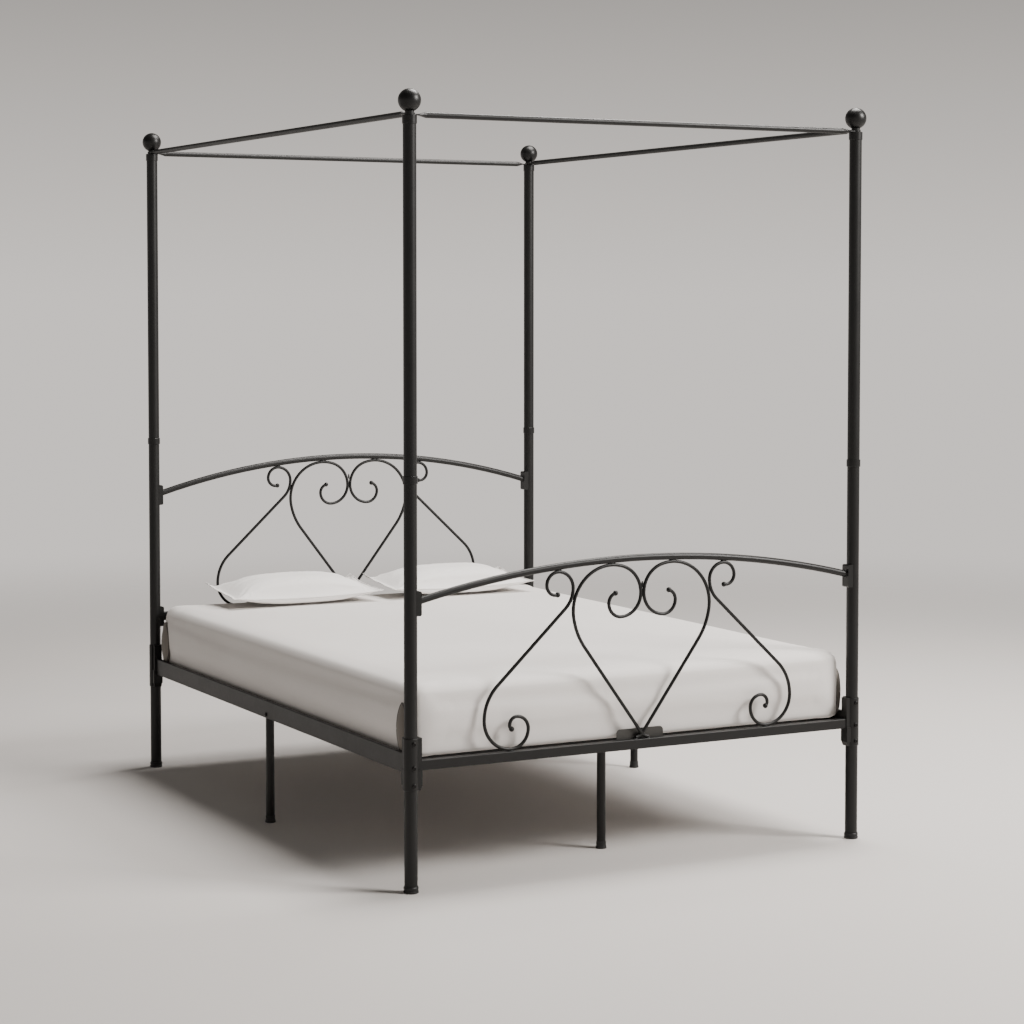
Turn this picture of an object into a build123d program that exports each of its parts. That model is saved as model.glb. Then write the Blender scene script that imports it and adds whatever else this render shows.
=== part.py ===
from build123d import *
import math
import os

# Four-poster canopy bed for a full-size mattress: a bolted steel-tube frame with a heart-and-scroll
# headboard and footboard, four ball-topped posts joined by canopy rails, a mattress and two pillows.
# Frame: origin on the floor under the middle of the bed, +X towards the right seen from the foot end,
# +Y from the foot end to the head end, +Z up. Millimetres.

# ---------------------------------------------------------------- driving dimensions
post_spacing_x = 1392.0      # between post axes, across the bed
post_spacing_y = 1947.0      # between post axes, along the bed
post_diameter = 35.0
post_wall = 1.2
post_joint_height = 1074.0   # where the canopy post plugs into the lower post
post_neck_length = 60.0      # swaged end of the canopy post inside the lower post
neck_clearance = 0.05
fit_gap = 0.1                # all round between a post and the sleeves, caps and collars on it
touch_gap = 0.05             # left between pieces that are welded or bolted face to face
weld_gap = 0.35              # left where a curled rod is welded to the arch beside it

foot_cap_height = 17.0
foot_cap_floor = 3.0
foot_cap_diameter = 40.0
collar_height = 20.0
collar_diameter = 39.4
top_cap_height = 20.0
top_cap_diameter = 38.4
post_top_height = 2007.0
ball_centre_height = 2047.0
ball_diameter = 60.0
stud_diameter = 8.0

canopy_rail_diameter = 16.0
canopy_rail_wall = 1.0
rail_eye_diameter = 28.0
rail_eye_thickness = 3.0

arch_tube_diameter = 19.0
arch_tube_wall = 1.2
foot_arch_end_height = 760.0
foot_arch_rise = 80.0
head_arch_end_height = 903.0
head_arch_rise = 100.0
saddle_thickness = 8.0       # from the post's face to the saddle's flat face
saddle_width = 30.0
saddle_height = 64.0

scroll_rod_diameter = 9.5
scroll_knob_diameter = 14.5

cross_rail_height = 27.0
cross_rail_depth = 20.0
foot_rail_top = 346.0
head_rail_top = 511.0
side_rail_height = 52.0
side_rail_width = 15.0
side_rail_top = 361.0
side_rail_centre_x = 695.0
side_leg_x = 690.0
leg_bolt_rise = 11.0         # from a side rail's lower edge up to the bolt above its leg
tube_wall = 1.5

bracket_low = 268.0
bracket_high = 405.0
bracket_wall = 2.4
bracket_flange = 9.0         # from the post's face to the flange's flat face
bracket_flange_width = 25.0
bracket_step_height = 322.0  # below this the flange is thicker
bracket_step = 2.5
bolt_heights = (282.0, 328.0, 391.0)
bolt_head_diameter = 12.0
bolt_head_height = 4.0

leg_diameter = 25.0
leg_cap_diameter = 31.0
leg_cap_height = 20.0
left_leg_y = 0.0
right_leg_y = 230.0
centre_leg_y = 752.0

slat_count = 11
slat_width = 38.0
slat_height = 15.0
slat_top = 343.0
centre_rail_width = 30.0
centre_rail_height = 25.0

mattress_width = 1372.0
mattress_length = 1905.0
mattress_thickness = 195.0
mattress_corner = 40.0
mattress_edge = 26.0
mattress_base_edge = 10.0
pillow_width = 540.0
pillow_depth = 262.0
pillow_height = 128.0
pillow_back_y = 950.0
pillow_centres_x = (-268.0, 300.0)

# ---------------------------------------------------------------- sizes that follow from them
post_radius = post_diameter / 2
post_x = post_spacing_x / 2
post_y = post_spacing_y / 2
rod_radius = scroll_rod_diameter / 2
arch_radius = arch_tube_diameter / 2
inner_face_x = post_x - post_radius - bracket_flange   # ends of the cross rails
saddle_face_x = post_x - post_radius - saddle_thickness
side_rail_end_y = post_y - post_radius - bracket_flange
mattress_bottom = slat_top + 0.3
mattress_top = mattress_bottom + mattress_thickness

corners = {
    "foot_left": (-1, -1),
    "foot_right": (1, -1),
    "head_left": (-1, 1),
    "head_right": (1, 1),
}

LOW = (Align.CENTER, Align.CENTER, Align.MIN)
parts = {}


# ---------------------------------------------------------------- helpers
def ring(outer_diameter, inner_diameter, low, high):
    """Upright ring or tube about the Z axis, between two heights."""
    height = high - low
    wall = Cylinder(outer_diameter / 2, height, align=LOW) - Cylinder(inner_diameter / 2, height, align=LOW)
    return Pos(0, 0, low) * wall


def box_between(low, high):
    """Box from its lowest to its highest corner."""
    size = [b - a for a, b in zip(low, high)]
    centre = [(a + b) / 2 for a, b in zip(low, high)]
    return Pos(*centre) * Box(*size)


def hollow_bar(length, width, height, wall, corner):
    """Rectangular tube along X, centred, with rounded long edges."""
    outside = RectangleRounded(width, height, corner)
    inside = RectangleRounded(width - 2 * wall, height - 2 * wall, max(corner - wall, 0.3))
    bar = extrude(Plane.YZ * (outside - inside), length / 2, both=True)
    return bar


def walk(start, heading, runs):
    """Edges of a bent rod: each run is ("straight", length) or ("bend", radius, turn in degrees)."""
    point = Vector(*start)
    angle = heading
    edges = []
    for run in runs:
        direction = Vector(math.cos(math.radians(angle)), math.sin(math.radians(angle)))
        if run[0] == "straight":
            edge = Line(point, point + direction * run[1])
        else:
            edge = JernArc(point, direction, run[1], run[2])
            angle += run[2]
        edges.append(edge)
        point = edge @ 1
    return edges, point


def scroll_rod(start, heading, runs, plane_y, knob_at_start):
    """Round rod along such a path in an upright plane, with a knob on its curled end or ends."""
    edges, end = walk(start, heading, runs)
    upright = Plane(origin=(0, plane_y, 0), x_dir=(1, 0, 0), z_dir=(0, -1, 0))
    path = upright * Wire([edge.edge() for edge in edges])
    section = Plane(origin=path @ 0, z_dir=path % 0) * Circle(rod_radius)
    rod = sweep(section, path=path)
    rod += Pos(path @ 1) * Sphere(scroll_knob_diameter / 2)
    if knob_at_start:
        rod += Pos(path @ 0) * Sphere(scroll_knob_diameter / 2)
    return rod


def arch_height(x, end_height, rise):
    """Height of an arch tube's axis at x: a circle through both ends and the middle."""
    half = saddle_face_x
    radius = (half * half + rise * rise) / (2 * rise)
    return end_height + rise - radius + math.sqrt(radius * radius - x * x)


# ---------------------------------------------------------------- posts, caps, collars and finials
def lower_post():
    """Lower part of a post, from the floor cap to the joint."""
    return ring(post_diameter, post_diameter - 2 * post_wall, foot_cap_floor, post_joint_height - touch_gap)


def canopy_post():
    """Upper part of a post, with a narrower neck that plugs into the lower part."""
    neck_outside = post_diameter - 2 * post_wall - 2 * neck_clearance
    bore = neck_outside - 2 * post_wall
    tube = ring(post_diameter, post_diameter - 2 * post_wall, post_joint_height, post_top_height)
    step = ring(post_diameter, bore, post_joint_height, post_joint_height + 3)
    neck = ring(neck_outside, bore, post_joint_height - post_neck_length, post_joint_height + 3)
    return tube + step + neck


def post_joint_collar():
    """Ring that covers the joint, with softened rims."""
    low = post_joint_height - collar_height / 2
    collar = ring(collar_diameter, post_diameter + 2 * fit_gap, low, low + collar_height)
    rims = collar.edges().filter_by(GeomType.CIRCLE).filter_by(
        lambda e: e.radius > collar_diameter / 2 - 0.1)
    return chamfer(rims, 0.8)


def post_foot_cap():
    """Cup under a post, with two raised bands."""
    outer = foot_cap_diameter / 2
    inner = post_radius + fit_gap
    band = 5.0
    groove = 1.3
    top = foot_cap_height
    outline = Polyline(
        (0, 0), (outer - 1, 0), (outer, 1), (outer, band + 1), (outer - groove, band + 2),
        (outer - groove, band + 4), (outer - 0.3, band + 5), (outer - 0.3, top - 2), (outer - 1.3, top),
        (inner, top), (inner, foot_cap_floor - touch_gap), (0, foot_cap_floor - touch_gap), (0, 0))
    return revolve(Plane.XZ * make_face(outline), Axis.Z)


def post_top_cap():
    """Cap over a post's top end, bored for the finial's stud."""
    low = post_top_height - top_cap_height
    skirt = ring(top_cap_diameter, post_diameter + 2 * fit_gap, low, post_top_height + touch_gap)
    lid = ring(top_cap_diameter, stud_diameter + 0.4, post_top_height + touch_gap, post_top_height + 2)
    cap = skirt + lid
    rims = cap.edges().filter_by(GeomType.CIRCLE).filter_by(
        lambda e: e.radius > top_cap_diameter / 2 - 0.1)
    return chamfer(rims, 0.7)


def ball_finial():
    """Ball with a short foot and a threaded stud's plain core below it."""
    radius = ball_diameter / 2
    foot_low = post_top_height + 2 + 2 * (rail_eye_thickness + touch_gap) + touch_gap
    stud_low = post_top_height - top_cap_height
    foot_depth = ball_centre_height - radius + 3 - foot_low
    ball = Pos(0, 0, ball_centre_height) * Sphere(radius)
    foot = Pos(0, 0, foot_low) * Cylinder(12, foot_depth, align=LOW)
    stud_length = foot_low + 1 - stud_low
    stud = Pos(0, 0, stud_low) * Cylinder(stud_diameter / 2, stud_length, align=LOW)
    return ball + foot + stud


for name, (side_x, side_y) in corners.items():
    place = Pos(side_x * post_x, side_y * post_y, 0)
    parts["lower_post_" + name] = place * lower_post()
    parts["canopy_post_" + name] = place * canopy_post()
    parts["post_joint_collar_" + name] = place * post_joint_collar()
    parts["post_foot_cap_" + name] = place * post_foot_cap()
    parts["post_top_cap_" + name] = place * post_top_cap()
    parts["ball_finial_" + name] = place * ball_finial()


# ---------------------------------------------------------------- canopy rails
def canopy_rail(span):
    """Round tube along X whose ends are pressed flat into eyes that the finials clamp."""
    tube_end = span / 2 - 46
    flat_start = span / 2 - 24
    tube = Rot(0, 90, 0) * Cylinder(canopy_rail_diameter / 2, 2 * tube_end)
    bore = Rot(0, 90, 0) * Cylinder(canopy_rail_diameter / 2 - canopy_rail_wall, 2 * tube_end)
    rail = tube - bore
    half_thickness = rail_eye_thickness / 2
    for side in (-1, 1):
        round_face = Plane(origin=(side * tube_end, 0, 0), x_dir=(0, 1, 0), z_dir=(side, 0, 0))
        flat_face = Plane(origin=(side * flat_start, 0, 0), x_dir=(0, 1, 0), z_dir=(side, 0, 0))
        pressed = loft([round_face * Circle(canopy_rail_diameter / 2),
                        flat_face * Ellipse(11.4, half_thickness)])
        tongue = box_between((flat_start - 1, -10.5, -half_thickness), (span / 2, 10.5, half_thickness))
        eye = Pos(span / 2, 0, 0) * Cylinder(rail_eye_diameter / 2, rail_eye_thickness)
        hole = Pos(side * span / 2, 0, 0) * Cylinder(stud_diameter / 2 + 0.2, 3 * rail_eye_thickness)
        end = tongue + eye
        if side < 0:
            end = Rot(0, 0, 180) * end
        rail = rail + pressed + end - hole
    return rail


lower_eye_height = post_top_height + 2 + touch_gap + rail_eye_thickness / 2
upper_eye_height = lower_eye_height + rail_eye_thickness + touch_gap
for name, side_y in (("foot", -1), ("head", 1)):
    place = Pos(0, side_y * post_y, lower_eye_height)
    parts["canopy_rail_" + name] = place * canopy_rail(post_spacing_x)
for name, side_x in (("left", -1), ("right", 1)):
    place = Pos(side_x * post_x, 0, upper_eye_height) * Rot(0, 0, 90)
    parts["canopy_rail_" + name] = place * canopy_rail(post_spacing_y)


# ---------------------------------------------------------------- headboard and footboard
def arch_tube(end_height, rise, plane_y):
    """Shallow arched tube between the two saddles of one end of the bed."""
    half = saddle_face_x - touch_gap
    reach = half + 6
    upright = Plane(origin=(0, plane_y, 0), x_dir=(1, 0, 0), z_dir=(0, -1, 0))
    end = (reach, arch_height(reach, end_height, rise))
    arc = upright * ThreePointArc((-end[0], end[1]), (0, end_height + rise), end)
    outside = sweep(Plane(origin=arc @ 0, z_dir=arc % 0) * Circle(arch_radius), path=arc)
    inside = sweep(Plane(origin=arc @ 0, z_dir=arc % 0) * Circle(arch_radius - arch_tube_wall), path=arc)
    limits = box_between((-half, plane_y - 50, end_height - 100), (half, plane_y + 50, end_height + rise + 100))
    return (outside - inside) & limits


def saddle(side_x, centre_height, plane_y):
    """Plate with a hollow back that seats the end of an arch tube or rail against a post."""
    low = centre_height - saddle_height / 2
    face = side_x * saddle_face_x
    back = side_x * (post_x - 4)
    block = box_between(
        (min(face, back), plane_y - saddle_width / 2, low),
        (max(face, back), plane_y + saddle_width / 2, low + saddle_height))
    block = chamfer(block.edges().filter_by(Axis.Y).filter_by(
        lambda e: abs(e.center().X - face) < 1), 3)
    post = Pos(side_x * post_x, plane_y, low - 5) * Cylinder(post_radius + fit_gap, saddle_height + 10, align=LOW)
    return block - post


def heart_scroll(lean, end_height, rise, rail_top, plane_y):
    """Left half of the heart: from a tail on the rail, up the outside, over and into a curl."""
    top = arch_height(100, end_height, rise) - arch_radius - rod_radius - touch_gap
    low = rail_top + rod_radius + touch_gap
    tail = ("bend", 28, -(180 - lean))
    shoulder = [("bend", 189, -(lean - 100)), ("bend", 119, -100)]
    inner = [("bend", 119, -18), ("bend", 78, -72)]
    curl = [("bend", 62, -90), ("bend", 38, -90), ("bend", 28, -75)]
    height_without_straight = walk((0, 0), 180, [tail] + shoulder)[1].Y
    straight = ("straight", (top - low - height_without_straight) / math.sin(math.radians(lean)))
    reach = walk((0, 0), 180, [tail, straight] + shoulder + inner)[1].X
    start_x = -rod_radius - touch_gap - reach
    runs = [tail, straight] + shoulder + inner + curl
    return scroll_rod((start_x, low), 180, runs, plane_y, knob_at_start=False)


def side_scroll(end_height, rise, rail_top, plane_y):
    """Left S-shaped scroll: a small curl under the arch, a slanting straight, a large curl on the rail."""
    crown_x = -260.0
    top = arch_height(crown_x, end_height, rise) - arch_radius - rod_radius - weld_gap
    low = rail_top + rod_radius + touch_gap
    slant = 46.8
    upper_curl = [("bend", 20, -17), ("bend", 27, -90), ("bend", 35, -90)]
    crown = [("bend", 45, -90), ("bend", 75, -slant)]
    belly = [("bend", 125, slant), ("bend", 80, 90)]
    lower_curl = [("bend", 51.5, 90), ("bend", 34, 90), ("bend", 22, 90), ("bend", 12, 60)]
    to_crown = walk((0, 0), 197, upper_curl)[1]
    drop = walk((0, 0), 0, crown + belly)[1].Y
    straight = ("straight", (top - low + drop) / math.cos(math.radians(slant)))
    start = (crown_x - to_crown.X, top - to_crown.Y)
    runs = upper_curl + crown + [straight] + belly + lower_curl
    return scroll_rod(start, 197, runs, plane_y, knob_at_start=True)


def cross_rail(top, plane_y, end_x):
    """Straight rectangular rail between the two posts of one end."""
    bar = hollow_bar(2 * (end_x - touch_gap), cross_rail_depth, cross_rail_height, tube_wall, 2.5)
    return Pos(0, plane_y, top - cross_rail_height / 2) * bar


ends = (
    ("footboard", -post_y, 126.0, foot_arch_end_height, foot_arch_rise, foot_rail_top),
    ("headboard", post_y, 127.5, head_arch_end_height, head_arch_rise, head_rail_top),
)
for name, plane_y, lean, end_height, rise, rail_top in ends:
    parts[name + "_arch_tube"] = arch_tube(end_height, rise, plane_y)
    saddle_heights = [end_height - 6]
    if name == "headboard":
        saddle_heights.append(rail_top - cross_rail_height / 2)
    saddles = [saddle(side_x, height, plane_y) for side_x in (-1, 1) for height in saddle_heights]
    parts[name + "_saddles"] = Compound(children=saddles)
    heart = heart_scroll(lean, end_height, rise, rail_top, plane_y)
    parts[name + "_heart_scroll_left"] = heart
    parts[name + "_heart_scroll_right"] = mirror(heart, Plane.YZ)
    scroll = side_scroll(end_height, rise, rail_top, plane_y)
    parts[name + "_side_scroll_left"] = scroll
    parts[name + "_side_scroll_right"] = mirror(scroll, Plane.YZ)
parts["foot_rail"] = cross_rail(foot_rail_top, -post_y, inner_face_x)
parts["head_rail"] = cross_rail(head_rail_top, post_y, saddle_face_x)


# ---------------------------------------------------------------- corner brackets and their bolts
def corner_bracket(side_x, side_y):
    """Sleeve round a post with a flange for the side rail, and one for the foot rail at the foot end."""
    sleeve_radius = post_radius + fit_gap + bracket_wall
    sleeve = ring(2 * sleeve_radius, post_diameter + 2 * fit_gap, bracket_low, bracket_high)
    sleeve = chamfer(sleeve.edges().filter_by(GeomType.CIRCLE).filter_by(
        lambda e: e.radius > sleeve_radius - 0.1), 1.2)
    slot_low = bracket_low - 1
    slot_high = bracket_high + 1
    slot = box_between((-30, -3, slot_low), (-8, 3, slot_high))
    sleeve -= Rot(0, 0, -45) * slot
    post = Pos(0, 0, slot_low) * Cylinder(post_radius + fit_gap, slot_high - slot_low, align=LOW)
    face = post_radius + bracket_flange
    outline = Polyline(
        (post_radius - 6, bracket_low), (face - 5, bracket_low), (face, bracket_low + 12),
        (face, bracket_high), (post_radius - 6, bracket_high), (post_radius - 6, bracket_low))
    flange = extrude(Plane.XZ * make_face(outline), bracket_flange_width / 2, both=True)
    thick = box_between(
        (post_radius - 6, -bracket_flange_width / 2 - bracket_step, bracket_low + 12),
        (face - touch_gap, bracket_flange_width / 2 + bracket_step, bracket_step_height))
    flange += thick
    bracket = sleeve + Rot(0, 0, 90) * (flange - post)
    if side_y < 0:
        bracket += flange - post
    if side_x > 0:
        bracket = mirror(bracket, Plane.YZ)
    if side_y > 0:
        bracket = mirror(bracket, Plane.XZ)
    return bracket


for name, (side_x, side_y) in corners.items():
    place = Pos(side_x * post_x, side_y * post_y, 0)
    parts["corner_bracket_" + name] = place * corner_bracket(side_x, side_y)


def bolt_head():
    """Domed head with a hexagon socket, standing on the XY plane."""
    head = Cylinder(bolt_head_diameter / 2, bolt_head_height, align=LOW)
    head = fillet(head.edges().group_by(Axis.Z)[-1], bolt_head_height * 0.6)
    socket = Pos(0, 0, bolt_head_height) * extrude(RegularPolygon(2.6, 6), -1.8)
    return head - socket


def frame_bolts():
    """Heads of the bolts: three on each corner sleeve, and one on each side rail above its leg."""
    bolts = []
    sleeve_face = post_radius + fit_gap + bracket_wall + touch_gap
    head = bolt_head()
    for side_x, side_y in corners.values():
        for height in bolt_heights:
            facing = Rot(90, 0, 0) if side_y < 0 else Rot(-90, 0, 0)
            bolts.append(Pos(side_x * post_x, side_y * (post_y + sleeve_face), height) * facing * head)
    rail_face = side_rail_centre_x + side_rail_width / 2 + touch_gap
    for side_x, leg_y in ((-1, left_leg_y), (1, right_leg_y)):
        place = Pos(side_x * rail_face, leg_y, side_rail_top - side_rail_height + leg_bolt_rise)
        bolts.append(place * Rot(0, side_x * 90, 0) * head)
    return Compound(children=bolts)


parts["frame_bolts"] = frame_bolts()


# ---------------------------------------------------------------- side rails, centre rail, slats and legs
for name, side_x in (("left", -1), ("right", 1)):
    bar = hollow_bar(2 * (side_rail_end_y - touch_gap), side_rail_width, side_rail_height, tube_wall, 2.5)
    place = Pos(side_x * side_rail_centre_x, 0, side_rail_top - side_rail_height / 2) * Rot(0, 0, 90)
    parts["side_rail_" + name] = place * bar

slat_span = 2 * (side_rail_centre_x - side_rail_width / 2 - touch_gap)
slat_pitch = 2 * (post_y - 90) / (slat_count - 1)
slat = hollow_bar(slat_span, slat_width, slat_height, 1.2, 2)
slat_z = slat_top - slat_height / 2
slats = [Pos(0, slat_pitch * (i - (slat_count - 1) / 2), slat_z) * slat for i in range(slat_count)]
parts["cross_slats"] = Compound(children=slats)

centre_rail_top = slat_top - slat_height - touch_gap
centre_rail_length = slat_pitch * (slat_count - 1) + slat_width
bar = hollow_bar(centre_rail_length, centre_rail_width, centre_rail_height, tube_wall, 2.5)
parts["centre_rail"] = Pos(0, 0, centre_rail_top - centre_rail_height / 2) * Rot(0, 0, 90) * bar


def leg(top):
    """Straight tube leg from inside its floor cap up to a rail."""
    return ring(leg_diameter, leg_diameter - 2 * post_wall, foot_cap_floor, top - touch_gap)


def leg_cap():
    """Flared cup under a leg."""
    outer = leg_cap_diameter / 2
    inner = leg_diameter / 2 + fit_gap
    outline = Polyline(
        (0, 0), (outer - 1, 0), (outer, 1), (outer - 0.4, 5), (outer - 1.6, 11),
        (inner + 1.2, leg_cap_height), (inner, leg_cap_height), (inner, foot_cap_floor - touch_gap),
        (0, foot_cap_floor - touch_gap), (0, 0))
    return revolve(Plane.XZ * make_face(outline), Axis.Z)


side_rail_bottom = side_rail_top - side_rail_height
centre_rail_bottom = centre_rail_top - centre_rail_height
legs = {
    "side_leg_left": (-side_leg_x, left_leg_y, side_rail_bottom),
    "side_leg_right": (side_leg_x, right_leg_y, side_rail_bottom),
    "centre_leg_foot": (0, -centre_leg_y, centre_rail_bottom),
    "centre_leg_head": (0, centre_leg_y, centre_rail_bottom),
}
for name, (x, y, top) in legs.items():
    parts[name] = Pos(x, y, 0) * leg(top)
parts["leg_caps"] = Compound(children=[Pos(x, y, 0) * leg_cap() for x, y, top in legs.values()])


# ---------------------------------------------------------------- mattress stop
def mattress_stop_plate():
    """Thin upright plate on the back of the foot rail that keeps the mattress in place."""
    half_width = 73.0
    low = foot_rail_top - 20
    high = foot_rail_top + 27
    thickness = 3.0
    front = -post_y + cross_rail_depth / 2 + touch_gap
    face = Pos(0, (low + high) / 2) * RectangleRounded(2 * half_width, high - low, 11)
    upright = Plane(origin=(0, front, 0), x_dir=(1, 0, 0), z_dir=(0, -1, 0))
    return extrude(upright * face, -thickness)


parts["mattress_stop_plate"] = mattress_stop_plate()


# ---------------------------------------------------------------- mattress and pillows
def mattress():
    """Plain block with rounded corners and edges."""
    plan = RectangleRounded(mattress_width, mattress_length, mattress_corner)
    block = extrude(plan, mattress_thickness)
    block = fillet(block.edges().group_by(Axis.Z)[-1], mattress_edge)
    block = fillet(block.edges().group_by(Axis.Z)[0], mattress_base_edge)
    return Pos(0, 0, mattress_bottom) * block


def pillow(centre_x):
    """Plain cushion block, well rounded all over."""
    block = Box(pillow_width, pillow_depth, pillow_height, align=LOW)
    block = fillet(block.edges().filter_by(Axis.Z), 60)
    rims = block.edges().group_by(Axis.Z)
    block = fillet(list(rims[0]) + list(rims[-1]), 45)
    return Pos(centre_x, pillow_back_y - pillow_depth / 2, mattress_top + 0.3) * block


parts["mattress"] = mattress()
for name, centre_x in zip(("left", "right"), pillow_centres_x):
    parts["pillow_" + name] = pillow(centre_x)


# ---------------------------------------------------------------- write one file per sub-part
os.makedirs("parts", exist_ok=True)
for name, shape in parts.items():
    export_step(shape, "parts/" + name + ".step")
    print(name, round(shape.volume, 1))
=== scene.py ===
import math

import bpy
import numpy as np
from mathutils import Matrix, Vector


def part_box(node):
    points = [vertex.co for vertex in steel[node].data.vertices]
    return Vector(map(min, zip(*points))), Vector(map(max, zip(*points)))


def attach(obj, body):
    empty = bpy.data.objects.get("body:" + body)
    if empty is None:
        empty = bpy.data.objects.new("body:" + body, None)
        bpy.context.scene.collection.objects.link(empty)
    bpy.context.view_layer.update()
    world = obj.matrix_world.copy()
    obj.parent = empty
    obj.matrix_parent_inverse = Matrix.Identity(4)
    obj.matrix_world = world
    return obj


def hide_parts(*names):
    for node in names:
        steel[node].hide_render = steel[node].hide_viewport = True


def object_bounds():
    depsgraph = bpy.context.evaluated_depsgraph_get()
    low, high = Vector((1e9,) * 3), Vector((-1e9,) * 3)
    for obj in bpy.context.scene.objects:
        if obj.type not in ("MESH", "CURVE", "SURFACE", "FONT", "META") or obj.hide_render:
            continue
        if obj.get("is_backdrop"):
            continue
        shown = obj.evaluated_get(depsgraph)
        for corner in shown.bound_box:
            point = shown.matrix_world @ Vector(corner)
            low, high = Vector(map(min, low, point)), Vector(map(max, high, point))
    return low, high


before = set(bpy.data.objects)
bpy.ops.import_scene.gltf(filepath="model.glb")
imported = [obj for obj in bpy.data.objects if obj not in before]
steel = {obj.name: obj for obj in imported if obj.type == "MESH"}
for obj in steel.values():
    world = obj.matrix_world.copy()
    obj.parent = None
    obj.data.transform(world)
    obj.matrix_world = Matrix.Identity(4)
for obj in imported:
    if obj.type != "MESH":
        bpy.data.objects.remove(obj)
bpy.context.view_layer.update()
MM = 0.001


# ---------------------------------------------------------------- powder-coated frame
# Posts, rails, arches and scrolls are steel tube and rod, welded and then dipped in one coat of
# satin black powder paint. Baked powder has a fine orange peel and a slightly uneven sheen.
class Value:
    """An output socket of a finish. Arithmetic on it adds the Math node that does the sum."""

    def __init__(self, tree, socket):
        self.tree = tree
        self.socket = socket

    def node(self, kind, settings, inputs, output=0):
        """A node of that type, with its settings set before the values or links of its sockets."""
        made = self.tree.nodes.new(kind)
        for name, setting in settings.items():
            if name == "stops":
                made.color_ramp.elements.remove(made.color_ramp.elements[1])
                made.color_ramp.elements[0].position = setting[0][0]
                made.color_ramp.elements[0].color = setting[0][1]
                for place, colour in setting[1:]:
                    made.color_ramp.elements.new(place).color = colour
            else:
                setattr(made, name, setting)
        for name, value in inputs.items():
            if isinstance(value, Value):
                self.tree.links.new(value.socket, made.inputs[name])
            else:
                made.inputs[name].default_value = value
        return Value(self.tree, made.outputs[output])

    def sum(self, operation, *values):
        return self.node("ShaderNodeMath", {"operation": operation}, dict(enumerate(values)))

    def __add__(self, other):
        return self.sum("ADD", self, other)

    __radd__ = __add__

    def __mul__(self, other):
        return self.sum("MULTIPLY", self, other)

    __rmul__ = __mul__

    def __sub__(self, other):
        return self.sum("SUBTRACT", self, other)

    def __rsub__(self, other):
        return self.sum("SUBTRACT", other, self)

    def __pow__(self, other):
        return self.sum("POWER", self, other)


def start_finish(name):
    """A new material with a bare shader, and the object's own coordinates for its patterns."""
    finish = bpy.data.materials.new(name)
    finish.use_nodes = True
    tree = finish.node_tree
    place = tree.nodes.new("ShaderNodeTexCoord")
    return finish, Value(tree, place.outputs["Object"])


def set_finish(finish, varying, even):
    """Links what varies over the surface to the shader, and sets what is even on its own sockets."""
    shader = finish.node_tree.nodes["Principled BSDF"]
    for name, value in varying.items():
        finish.node_tree.links.new(value.socket, shader.inputs[name])
    for name, value in even.items():
        shader.inputs[name].default_value = value


def cloudy(place, size, detail=2.0, stretch=(1, 1, 1)):
    """Soft noise, about 0 to 1, whose patches are roughly that many metres across."""
    turned = place.node("ShaderNodeMapping", {}, {"Vector": place, "Scale": stretch})
    return place.node("ShaderNodeTexNoise", {}, {"Vector": turned, "Scale": 1 / size, "Detail": detail})


def powder_coat(name, dark, light, gloss):
    """Baked powder paint: colour clouded between two blacks, uneven sheen and a fine orange peel."""
    finish, place = start_finish(name)
    patches = cloudy(place, 0.09, 4)
    peel = cloudy(place, 0.0016, 2)
    dust = cloudy(place, 0.012, 6)
    colour = place.node("ShaderNodeMix", {"data_type": "RGBA"}, {0: patches, 6: dark, 7: light}, 2)
    rough = gloss + 0.10 * patches + 0.10 * dust
    relief = peel + 0.35 * dust
    bump = place.node("ShaderNodeBump", {}, {"Strength": 0.22, "Distance": 0.0003, "Height": relief})
    set_finish(finish, {"Base Color": colour, "Roughness": rough, "Normal": bump},
               {"Specular IOR Level": 0.30, "IOR": 1.5})
    return finish


black_powder = powder_coat("black_powder_coat", (0.0030, 0.0030, 0.0029, 1), (0.0065, 0.0064, 0.0060, 1), 0.32)
for name, node in steel.items():
    node.data.materials.clear()
    node.data.materials.append(black_powder)


# ---------------------------------------------------------------- posts and finials
# Each post is two lengths of tube plugged together under a collar, with a ball screwed through the
# cap. The turned balls and their caps are a little smoother than the tube.
turned_powder = powder_coat("turned_powder_coat", (0.0028, 0.0028, 0.0027, 1), (0.0055, 0.0054, 0.0052, 1), 0.28)
for corner in ("foot_left", "foot_right", "head_left", "head_right"):
    for part in ("ball_finial_", "post_top_cap_", "post_joint_collar_"):
        steel[part + corner].data.materials[0] = turned_powder


# ---------------------------------------------------------------- foot caps
# Moulded black plastic cups pushed on under the posts and the legs. The mould leaves a fine spark
# texture, and the rims where the floor rubs are scuffed a shade paler.
plastic, place = start_finish("moulded_black_plastic")
grain = cloudy(place, 0.0011, 3)
height = place.node("ShaderNodeSeparateXYZ", {}, {"Vector": place}, 2)
scuff = place.node("ShaderNodeMapRange", {"clamp": True},
                   {"Value": height, "From Min": 0.0, "From Max": 0.006, "To Min": 0.7, "To Max": 0.0})
scuff = scuff * cloudy(place, 0.006, 5)
colour = place.node("ShaderNodeMix", {"data_type": "RGBA"},
                    {0: scuff, 6: (0.0045, 0.0045, 0.0046, 1), 7: (0.035, 0.033, 0.031, 1)}, 2)
bump = place.node("ShaderNodeBump", {}, {"Strength": 0.35, "Distance": 0.0003, "Height": grain})
set_finish(plastic, {"Base Color": colour, "Roughness": 0.50 + 0.25 * scuff, "Normal": bump}, {"IOR": 1.46})
for corner in ("foot_left", "foot_right", "head_left", "head_right"):
    steel["post_foot_cap_" + corner].data.materials[0] = plastic
steel["leg_caps"].data.materials[0] = plastic


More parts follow.
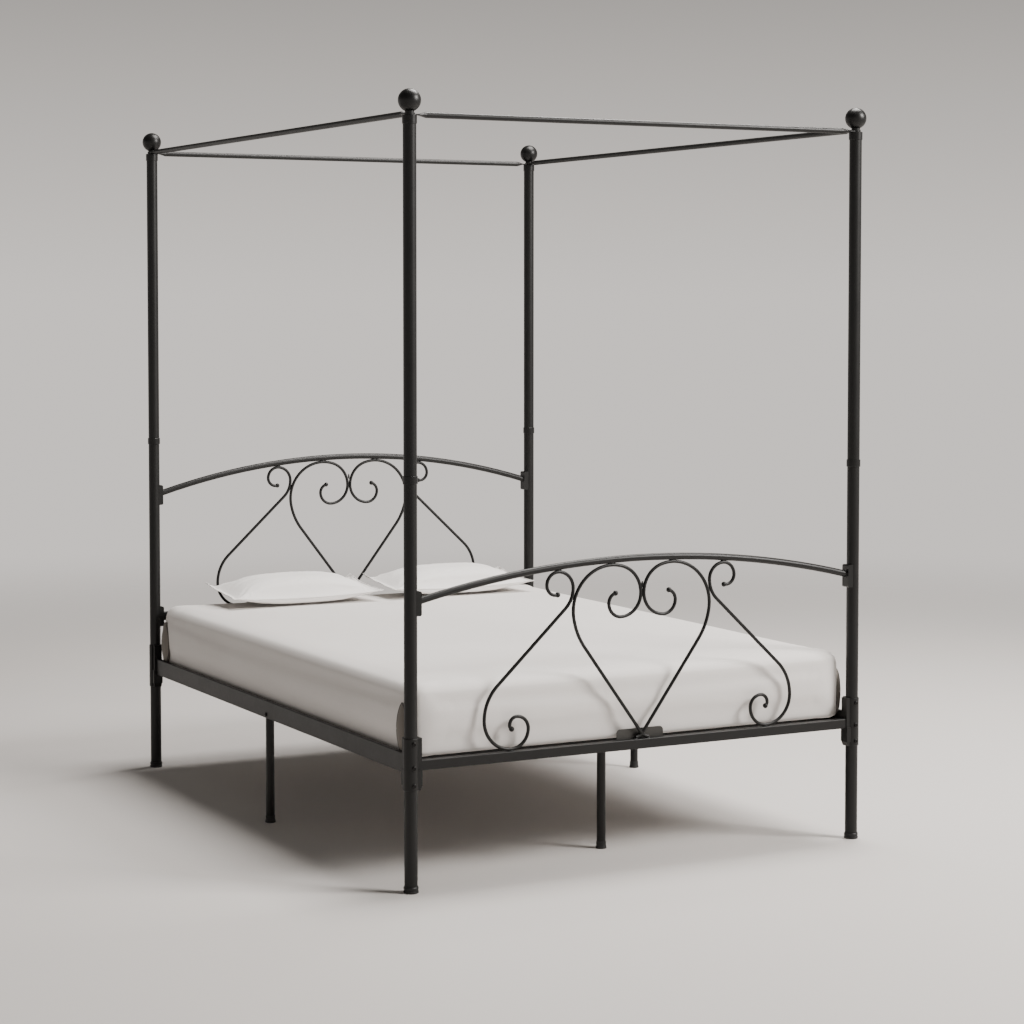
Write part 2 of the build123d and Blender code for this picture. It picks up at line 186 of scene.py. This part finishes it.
# ---------------------------------------------------------------- bolts
# Socket-head bolts with a black oxide skin, which is darker and more metallic than the paint and
# has faint turning marks.
oxide, place = start_finish("black_oxide_bolt")
marks = cloudy(place, 0.0012, 2, (1, 1, 4))
colour = place.node("ShaderNodeMix", {"data_type": "RGBA"},
                    {0: marks, 6: (0.006, 0.006, 0.0065, 1), 7: (0.022, 0.021, 0.020, 1)}, 2)
bump = place.node("ShaderNodeBump", {}, {"Strength": 0.2, "Distance": 0.0002, "Height": marks})
set_finish(oxide, {"Base Color": colour, "Roughness": 0.30 + 0.15 * marks, "Normal": bump}, {"Metallic": 0.75})
steel["frame_bolts"].data.materials[0] = oxide


# ---------------------------------------------------------------- mattress stop plate
# A pressed steel plate welded behind the foot rail. Its flat face takes the paint thinly, so it is
# a little greyer than the tubes.
steel["mattress_stop_plate"].data.materials[0] = powder_coat(
    "thin_powder_coat", (0.030, 0.0290, 0.0265, 1), (0.046, 0.044, 0.040, 1), 0.34)


# ---------------------------------------------------------------- welds
# Beads of weld where a curled rod touches an arch, a rail or its neighbour, and a ring of weld where
# each arch meets its saddles. They are painted over with the frame.
def make_piece(name, points, faces, finish, body):
    """A smooth mesh piece with its place in its mesh, riding on a body."""
    mesh = bpy.data.meshes.new(name)
    mesh.from_pydata(points.tolist(), [], [list(face) for face in faces])
    mesh.polygons.foreach_set("use_smooth", np.ones(len(mesh.polygons), bool))
    mesh.materials.append(finish)
    piece = bpy.data.objects.new(name, mesh)
    bpy.context.scene.collection.objects.link(piece)
    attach(piece, body)
    return piece


def grid_faces(rows, columns, wrap_rows, wrap_columns):
    """The quads of a grid of points, closed round in either direction if asked."""
    i = np.arange(rows if wrap_rows else rows - 1)[:, None]
    j = np.arange(columns if wrap_columns else columns - 1)[None, :]
    below, right = (i + 1) % rows, (j + 1) % columns
    quads = [i * columns + j, i * columns + right, below * columns + right, below * columns + j]
    return np.stack([np.broadcast_to(q, (i.size, j.size)).ravel() for q in quads], axis=1)


def bead(centre, half_sizes):
    """A weld puddle: an ellipsoid from two angles, with ripples that run along its length."""
    across = np.linspace(0, 2 * np.pi, 12, endpoint=False)[None, :]
    along = np.linspace(0.02, np.pi - 0.02, 15)[:, None]
    swell = 1 + 0.07 * np.cos(11 * along)
    x = np.cos(along) * np.ones_like(across)
    y = np.sin(along) * swell * np.cos(across)
    z = np.sin(along) * swell * np.sin(across)
    points = np.stack([x, y, z], axis=-1).reshape(-1, 3) * half_sizes + centre
    poles = np.array([[1, 0, 0], [-1, 0, 0]]) * half_sizes + centre
    sides = grid_faces(15, 12, False, True)
    last = 14 * 12
    turn = np.arange(12)
    cap_one = np.stack([np.full(12, 180), (turn + 1) % 12, turn], axis=1)
    cap_two = np.stack([np.full(12, 181), last + turn, last + (turn + 1) % 12], axis=1)
    return np.vstack([points, poles]), sides, np.vstack([cap_one, cap_two])


def weld_ring(centre, radius, thickness):
    """A ring of weld round a tube that runs along X: a torus with a slightly rippled section."""
    around = np.linspace(0, 2 * np.pi, 40, endpoint=False)[:, None]
    section = np.linspace(0, 2 * np.pi, 10, endpoint=False)[None, :]
    width = thickness * (1 + 0.10 * np.cos(13 * around))
    x = width * np.sin(section)
    reach = radius + width * np.cos(section)
    points = np.stack([x, reach * np.cos(around), reach * np.sin(around)], axis=-1).reshape(-1, 3) + centre
    return points, grid_faces(40, 10, True, True)[:, ::-1]


def node_points(name):
    """A CAD node's vertices as an array."""
    mesh = steel[name].data
    points = np.zeros(3 * len(mesh.vertices))
    mesh.vertices.foreach_get("co", points)
    return points.reshape(-1, 3)


def extreme(points, axis, sign):
    """The middle of the points that reach furthest along an axis."""
    reach = sign * points[:, axis]
    return points[reach > reach.max() - 0.3 * MM].mean(0)


for board in ("footboard", "headboard"):
    plane_y = (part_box(board + "_arch_tube")[0].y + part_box(board + "_arch_tube")[1].y) / 2
    spots = []
    for side in ("left", "right"):
        heart = node_points(board + "_heart_scroll_" + side)
        scroll = node_points(board + "_side_scroll_" + side)
        spots.append((extreme(heart, 2, 1), (11, 4.6, 3.0)))
        spots.append((extreme(scroll, 2, 1), (9, 4.4, 2.8)))
        spots.append((extreme(scroll, 2, -1), (10, 4.4, 2.6)))
        spots.append((extreme(heart, 2, -1), (8, 4.4, 2.6)))
        if side == "left":
            upper = heart[heart[:, 2] > heart[:, 2].mean() + 60 * MM]
            touch = extreme(upper, 0, 1)
            spots.append((np.array([0, plane_y, touch[2]]), (2.4, 3.8, 9)))
    points, faces, total = [], [], 0
    for centre, half_sizes in spots:
        centre = np.array([centre[0], plane_y, centre[2]])
        some, quads, fans = bead(centre, np.array(half_sizes) * MM)
        points.append(some)
        faces += (quads + total).tolist() + (fans + total).tolist()
        total += len(some)
    arch = node_points(board + "_arch_tube")
    for sign in (-1, 1):
        end = extreme(arch, 0, sign)
        some, quads = weld_ring(np.array([end[0], plane_y, end[2]]), 9.3 * MM, 2.2 * MM)
        points.append(some)
        faces += (quads + total).tolist()
        total += len(some)
    mesh = bpy.data.meshes.new(board + "_welds")
    mesh.from_pydata(np.vstack(points).tolist(), [], faces)
    mesh.polygons.foreach_set("use_smooth", np.ones(len(mesh.polygons), bool))
    mesh.materials.append(black_powder)
    welds = bpy.data.objects.new(board + "_welds", mesh)
    bpy.context.scene.collection.objects.link(welds)
    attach(welds, "frame")


# ---------------------------------------------------------------- mattress
# A foam mattress in a close-fitting knitted cotton cover, slightly crowned on top, with soft edges
# and a flat base that lies on the slats. Its cover is swelled a little by a cloth simulation.
def cotton(name, shade, light, pitch, crease):
    """Woven cotton: three crossed sine waves for the threads, faint slubs, and broad soft creases."""
    finish, place = start_finish(name)
    along = place.node("ShaderNodeSeparateXYZ", {}, {"Vector": place}, 0)
    over = place.node("ShaderNodeSeparateXYZ", {}, {"Vector": place}, 1)
    up = place.node("ShaderNodeSeparateXYZ", {}, {"Vector": place}, 2)
    turns = 2 * math.pi / pitch
    weave = sum((axis * turns).sum("SINE") for axis in (along, over, up))
    slub = cloudy(place, 0.004, 3, (1, 0.12, 1))
    broad = cloudy(place, 0.35, 2)
    folds = cloudy(place, 0.09, 3, (1, 0.35, 1))
    tone = 0.55 * broad + 0.30 * slub + 0.03 * weave
    colour = place.node("ShaderNodeMix", {"data_type": "RGBA"}, {0: tone, 6: shade, 7: light}, 2)
    relief = 0.00009 * weave + 0.00012 * slub + crease * folds
    bump = place.node("ShaderNodeBump", {}, {"Strength": 0.9, "Distance": 1.0, "Height": relief})
    rough = 0.80 + 0.12 * slub
    set_finish(finish, {"Base Color": colour, "Roughness": rough, "Normal": bump},
               {"Sheen Weight": 0.12, "Sheen Roughness": 0.5, "Specular IOR Level": 0.25})
    return finish


def outline(half_x, half_y, corner, count):
    """A rounded rectangle: four quarter circles, anticlockwise, each about its own corner's centre."""
    turn = np.linspace(0, np.pi / 2, count)
    angle = np.concatenate([turn + quarter * np.pi / 2 for quarter in range(4)])
    side_x = np.repeat([1, -1, -1, 1], count)
    side_y = np.repeat([1, 1, -1, -1], count)
    x = side_x * (half_x - corner) + corner * np.cos(angle)
    y = side_y * (half_y - corner) + corner * np.sin(angle)
    return np.stack([x, y], axis=1)


def soft_block(half_x, half_y, low, high, corner, base_edge, edge, crown):
    """A padded block: a rounded outline carried up a profile of two quarter circles, then closed by a
    crowned top and a flat base, both scaled in to the middle."""
    turn = np.linspace(0, np.pi / 2, 9)
    base = [(scale, base_edge, low) for scale in np.linspace(0.02, 1, 8)[:-1]]
    lower = [(1, base_edge * (1 - math.sin(t)), low + base_edge * (1 - math.cos(t))) for t in turn]
    upper = [(1, edge * (1 - math.cos(t)), high - edge * (1 - math.sin(t))) for t in turn]
    top = [(scale, edge, high + crown * (1 - scale * scale)) for scale in np.linspace(1, 0.02, 14)[1:]]
    rows = []
    for scale, inset, height in base + lower + upper + top:
        ring = outline(half_x - inset, half_y - inset, corner - inset * 0.8, 10) * scale
        rows.append(np.column_stack([ring, np.full(len(ring), height)]))
    points = np.vstack(rows)
    faces = grid_faces(len(rows), 40, False, True).tolist()
    faces.append(list(range(39, -1, -1)))
    faces.append(list(range(40 * (len(rows) - 1), 40 * len(rows))))
    return points, faces


def swell(piece, voxel, pressure, cap, frames):
    """Remeshes a soft piece evenly and lets a cloth simulation blow it up, moving no point further
    than the cap. The result is put back into the piece's own mesh."""
    bpy.context.view_layer.objects.active = piece
    if voxel:
        remesh = piece.modifiers.new("remesh", "REMESH")
        remesh.mode = "VOXEL"
        remesh.voxel_size = voxel
        bake_modifiers(piece)
    mesh = piece.data
    before = np.zeros(3 * len(mesh.vertices))
    mesh.vertices.foreach_get("co", before)
    cloth = piece.modifiers.new("cloth", "CLOTH")
    cloth.settings.quality = 4
    cloth.settings.use_pressure = True
    cloth.settings.uniform_pressure_force = pressure
    cloth.settings.effector_weights.gravity = 0
    cloth.settings.tension_stiffness = 8
    cloth.settings.compression_stiffness = 8
    cloth.settings.bending_stiffness = 0.15
    cloth.collision_settings.use_collision = False
    cloth.collision_settings.use_self_collision = False
    cloth.point_cache.frame_start = 1
    cloth.point_cache.frame_end = frames
    for step in range(1, frames + 1):
        bpy.context.scene.frame_set(step)
    bake_modifiers(piece)
    bpy.context.scene.frame_set(1)
    mesh = piece.data
    after = np.zeros(3 * len(mesh.vertices))
    mesh.vertices.foreach_get("co", after)
    before, after = before.reshape(-1, 3), after.reshape(-1, 3)
    moved = after - before
    length = np.linalg.norm(moved, axis=1, keepdims=True)
    held = cap * np.tanh(length / cap) / np.maximum(length, 1e-9)
    mesh.vertices.foreach_set("co", (before + moved * held).ravel())


def bake_modifiers(piece):
    """Puts what the piece's modifiers make into its mesh and takes the modifiers off."""
    shown = piece.evaluated_get(bpy.context.evaluated_depsgraph_get())
    mesh = bpy.data.meshes.new_from_object(shown)
    old = piece.data
    piece.modifiers.clear()
    piece.data = mesh
    bpy.data.meshes.remove(old)
    mesh.name = piece.name


mattress_low, mattress_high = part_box("mattress")
cover = cotton("knitted_cotton_cover", (0.62, 0.59, 0.565, 1), (0.74, 0.715, 0.69, 1), 0.0016, 0.0010)
points, faces = soft_block(
    mattress_high.x - 3 * MM, mattress_high.y - 3 * MM, mattress_low.z + 0.2 * MM, mattress_high.z - 6 * MM,
    38 * MM, 10 * MM, 32 * MM, 4 * MM)
mattress = make_piece("mattress_in_cover", points, faces, cover, "mattress")
swell(mattress, 11 * MM, 4.0, 5 * MM, 12)
points = np.zeros(3 * len(mattress.data.vertices))
mattress.data.vertices.foreach_get("co", points)
points = points.reshape(-1, 3)
points[:, 2] = np.clip(points[:, 2], mattress_low.z + 0.2 * MM, mattress_high.z)
mattress.data.vertices.foreach_set("co", points.ravel())
mattress.data.polygons.foreach_set("use_smooth", np.ones(len(mattress.data.polygons), bool))
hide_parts("mattress")


# ---------------------------------------------------------------- mattress corner gussets
# A lens-shaped gusset of taupe elastic is let into the cover at each corner, so that it slips over the foam, and a
# thin dark welt is sewn round it.
# The gusset's dark taupe colour is partly painted shade, standing in for the mattress's corner turning away into
# shade.
def corner_wrap(side_x, side_y, along, height, proud):
    """A point of the mattress's corner from its distance along the outline and its height: straight on
    one side, a quarter circle, then straight on the other, moved outwards by proud."""
    radius = 38 * MM
    centre_x = mattress_high.x - radius
    centre_y = mattress_high.y - radius
    turn = np.clip(along / radius, -np.pi / 4, np.pi / 4) + np.pi / 4
    past = along - (turn - np.pi / 4) * radius
    reach = radius + proud
    x = centre_x + reach * np.cos(turn) - np.sin(turn) * past
    y = centre_y + reach * np.sin(turn) + np.cos(turn) * past
    return np.stack([side_x * x, side_y * y, height + 0 * x], axis=-1)


def tube_along(path, radius, closed, sides=8):
    """A round welt or cord along a line of points: a circle square to the line at each point."""
    ahead = np.roll(path, -1, axis=0) - np.roll(path, 1, axis=0)
    if not closed:
        ahead[0], ahead[-1] = path[1] - path[0], path[-1] - path[-2]
    ahead /= np.linalg.norm(ahead, axis=1, keepdims=True)
    up = np.array([0.02, 0.03, 1.0])
    across = np.cross(ahead, up)
    across /= np.linalg.norm(across, axis=1, keepdims=True)
    over = np.cross(across, ahead)
    angle = np.linspace(0, 2 * np.pi, sides, endpoint=False)[None, :, None]
    points = path[:, None] + radius * (np.cos(angle) * across[:, None] + np.sin(angle) * over[:, None])
    return points.reshape(-1, 3), grid_faces(len(path), sides, closed, True)


shaded_elastic, place = start_finish("taupe_elastic_painted_shade")
ribs = (place.node("ShaderNodeSeparateXYZ", {}, {"Vector": place}, 2) * (2 * math.pi / 0.0022)).sum("SINE")
fuzz = cloudy(place, 0.003, 3)
# Painted shade: both taupe colours are kept dark so the corners look shaded even where a lamp lights them.
colour = place.node("ShaderNodeMix", {"data_type": "RGBA"},
                    {0: 0.5 * fuzz + 0.12 * ribs, 6: (0.12, 0.105, 0.09, 1), 7: (0.22, 0.20, 0.175, 1)}, 2)
bump = place.node("ShaderNodeBump", {}, {"Strength": 0.6, "Distance": 0.0004, "Height": ribs + fuzz})
set_finish(shaded_elastic, {"Base Color": colour, "Roughness": 0.75 + 0.15 * fuzz, "Normal": bump},
           {"Sheen Weight": 0.1})
welt_finish, place = start_finish("dark_welt")
twist = cloudy(place, 0.0018, 2, (1, 1, 0.4))
colour = place.node("ShaderNodeMix", {"data_type": "RGBA"},
                    {0: twist, 6: (0.030, 0.026, 0.023, 1), 7: (0.085, 0.075, 0.066, 1)}, 2)
bump = place.node("ShaderNodeBump", {}, {"Strength": 0.5, "Distance": 0.0004, "Height": twist})
set_finish(welt_finish, {"Base Color": colour, "Roughness": 0.70 + 0.15 * twist, "Normal": bump},
           {"Sheen Weight": 0.1})

gusset_middle = mattress_low.z + 72 * MM
gusset_along = -42 * MM
gusset_half_height = 70 * MM
gusset_half_width = 33 * MM
for name, side_x, side_y in (("foot_left", -1, -1), ("foot_right", 1, -1), ("head_left", -1, 1),
                             ("head_right", 1, 1)):
    up, over = np.meshgrid(np.linspace(-1, 1, 49), np.linspace(-1, 1, 33), indexing="ij")
    width = gusset_half_width * (1 - up * up) ** 0.8 + 0.2 * MM
    proud = 0.6 * MM + 11 * MM * (1 - up * up) * (1 - over * over)
    points = corner_wrap(side_x, side_y, gusset_along + over * width, gusset_middle + up * gusset_half_height, proud)
    back = corner_wrap(side_x, side_y, gusset_along + over * width, gusset_middle + up * gusset_half_height, -6 * MM)
    front_faces = grid_faces(49, 33, False, False)
    inside_out = side_x * side_y > 0
    faces = np.vstack([front_faces, front_faces[:, ::-1] + 49 * 33])
    rim = np.concatenate([np.arange(33), np.arange(1, 49) * 33 + 32, 48 * 33 + np.arange(31, -1, -1),
                          np.arange(47, 0, -1) * 33])
    beyond = np.roll(rim, -1)
    faces = np.vstack([faces, np.stack([beyond, rim, rim + 49 * 33, beyond + 49 * 33], axis=1)])
    if inside_out:
        faces = faces[:, ::-1]
    gusset = make_piece("corner_gusset_" + name, np.vstack([points.reshape(-1, 3), back.reshape(-1, 3)]),
                        faces, shaded_elastic, "mattress")
    turn = np.linspace(0, 2 * np.pi, 96, endpoint=False)
    line = corner_wrap(side_x, side_y, gusset_along + gusset_half_width * np.cos(turn) * np.abs(np.cos(turn)) ** 0.6,
                       gusset_middle + gusset_half_height * np.sin(turn), 1.0 * MM)
    points, faces = tube_along(line, 1.7 * MM, True)
    if not inside_out:
        faces = faces[:, ::-1]
    make_piece("gusset_welt_" + name, points, faces, welt_finish, "mattress")


# ---------------------------------------------------------------- pillows
# Two flattish feather pillows in white cotton slips. The two sides are sewn together edge to edge,
# so that the corners stand out as small ears and the seam runs round low on the front.
def pillow_slip(centre, half_x, half_y, low, lift, above, below):
    """Both sides of a pillow from two parameters, -1 to 1: the outline is drawn in between the
    corners, the top is domed, and the base is the same dome pressed flatter."""
    across, along = np.meshgrid(np.linspace(-1, 1, 115), np.linspace(-1, 1, 59), indexing="ij")
    x = centre[0] + half_x * across * (1 - 0.045 * (1 - along ** 2) * across ** 2)
    y = centre[1] + half_y * along * (1 - 0.10 * (1 - across ** 2) * along ** 2)
    seam = low + lift + 3 * MM * (across * along) ** 4 + 9 * MM * along
    dome = ((1 - np.abs(across) ** 2.6) * (1 - np.abs(along) ** 2.6)) ** 0.70
    top = seam + above * dome
    base = seam - below * (1 - (1 - dome) ** 2.2)
    upper = np.stack([x, y, top], axis=-1).reshape(-1, 3)
    lower = np.stack([x, y, base], axis=-1).reshape(-1, 3)
    index = np.arange(115 * 59).reshape(115, 59)
    edge = np.zeros((115, 59), bool)
    edge[[0, -1]] = True
    edge[:, [0, -1]] = True
    renumber = np.full(115 * 59, -1)
    renumber[index[~edge]] = np.arange((~edge).sum()) + 115 * 59
    renumber[index[edge]] = index[edge]
    quads = grid_faces(115, 59, False, False)
    faces = np.vstack([quads[:, ::-1], renumber[quads]])
    points = np.vstack([upper, lower[index[~edge]]])
    rim = np.concatenate([index[:, 0], index[-1, 1:], index[-2::-1, -1], index[0, -2:0:-1]])
    return points, faces[:, ::-1], rim


slip = cotton("white_cotton_slip", (0.70, 0.675, 0.655, 1), (0.80, 0.785, 0.765, 1), 0.0012, 0.0012)
for name in ("left", "right"):
    low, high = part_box("pillow_" + name)
    middle = (low + high) / 2
    points, faces, rim = pillow_slip(
        (middle.x, middle.y), (high.x - low.x) / 2 - 3 * MM, (high.y - low.y) / 2 - 2 * MM, low.z,
        42 * MM, 70 * MM, 40 * MM)
    pillow = make_piece("pillow_slip_" + name, points, faces, slip, "pillow_" + name)
    swell(pillow, 0, 4.0, 22 * MM, 20)
    points = np.zeros(3 * len(pillow.data.vertices))
    pillow.data.vertices.foreach_get("co", points)
    points = points.reshape(-1, 3)
    points[:, 2] = np.maximum(points[:, 2], low.z + 0.3 * MM)
    pillow.data.vertices.foreach_set("co", points.ravel())
    seam_line = points[rim]
    finer = pillow.modifiers.new("finer", "SUBSURF")
    finer.levels = 1
    finer.render_levels = 1
    bake_modifiers(pillow)
    pillow.data.polygons.foreach_set("use_smooth", np.ones(len(pillow.data.polygons), bool))
    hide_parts("pillow_" + name)
    points, faces = tube_along(seam_line, 1.3 * MM, True, 6)
    make_piece("pillow_seam_" + name, points, faces, slip, "pillow_" + name)


# ---------------------------------------------------------------- studio floor, light and camera
# A plain pale floor that fades into an even pale surround, one large soft light high on the right,
# and a long lens a little above the mattress.
surface, place = start_finish("studio_floor")
distance = place.node("ShaderNodeVectorMath", {"operation": "LENGTH"}, {0: place}, 1)
fade = place.node("ShaderNodeMapRange", {"clamp": True, "interpolation_type": "SMOOTHSTEP"},
                  {"Value": distance, "From Min": 2.6, "From Max": 8.0, "To Min": 0.0, "To Max": 1.0})
tone = cloudy(place, 1.5, 2)
colour = place.node("ShaderNodeMix", {"data_type": "RGBA"},
                    {0: tone, 6: (0.570, 0.545, 0.525, 1), 7: (0.595, 0.571, 0.550, 1)}, 2)
set_finish(surface, {"Base Color": colour}, {"Roughness": 0.9, "Specular IOR Level": 0.1})
tree = surface.node_tree
clear = place.node("ShaderNodeBsdfTransparent", {}, {})
shader = Value(tree, tree.nodes["Principled BSDF"].outputs[0])
blend = place.node("ShaderNodeMixShader", {}, {0: fade, 1: shader, 2: clear})
tree.links.new(blend.socket, tree.nodes["Material Output"].inputs["Surface"])
turn = np.linspace(0, 2 * np.pi, 64, endpoint=False)
mesh = bpy.data.meshes.new("studio_floor")
mesh.from_pydata(np.stack([18 * np.cos(turn), 18 * np.sin(turn), 0 * turn], axis=1).tolist(), [],
                 [list(range(64))])
mesh.materials.append(surface)
floor = bpy.data.objects.new("studio_floor", mesh)
bpy.context.scene.collection.objects.link(floor)
floor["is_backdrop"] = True

world = bpy.data.worlds.new("studio_surround")
world.use_nodes = True
bpy.context.scene.world = world
background = world.node_tree.nodes["Background"]
direction = Value(world.node_tree, world.node_tree.nodes.new("ShaderNodeTexCoord").outputs["Generated"])
rise = direction.node("ShaderNodeSeparateXYZ", {}, {"Vector": direction}, 2)
shade = direction.node("ShaderNodeValToRGB", {"stops": (
    (0.0, (0.88, 0.828, 0.785, 1)), (0.01, (0.85, 0.80, 0.757, 1)), (0.12, (0.46, 0.433, 0.407, 1)),
    (0.25, (0.15, 0.142, 0.134, 1)), (1.0, (0.16, 0.152, 0.144, 1)))}, {"Fac": rise})
world.node_tree.links.new(shade.socket, background.inputs["Color"])
background.inputs["Strength"].default_value = 1.0


def soft_light(name, place, target, size, power):
    """A square softbox at a place, turned towards its target."""
    lamp = bpy.data.lights.new(name, "AREA")
    lamp.shape = "SQUARE"
    lamp.size = size
    lamp.energy = power
    lamp.color = (1.0, 0.965, 0.93)
    light = bpy.data.objects.new(name, lamp)
    direction = np.array(target, float) - np.array(place, float)
    flat = math.hypot(direction[0], direction[1])
    light.rotation_euler = (math.atan2(flat, -direction[2]), 0, math.atan2(-direction[0], direction[1]))
    light.location = place
    bpy.context.scene.collection.objects.link(light)
    return light


soft_light("key_softbox", (4.0, -4.6, 4.4), (0.0, 0.0, 0.5), 2.2, 760)
soft_light("overhead_softbox", (1.7, 0.4, 5.6), (0.1, 0.1, 0.0), 2.8, 520)

lens = bpy.data.cameras.new("view")
lens.lens = 86.6
lens.sensor_width = 36.0
lens.shift_y = -0.09
lens.clip_start = 0.1
lens.clip_end = 200
camera = bpy.data.objects.new("view", lens)
camera.location = (-3.419, -6.688, 1.544)
camera.rotation_euler = (math.radians(90 - 2.85), 0, math.radians(-27.85))
bpy.context.scene.collection.objects.link(camera)
bpy.context.scene.camera = camera

low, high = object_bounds()
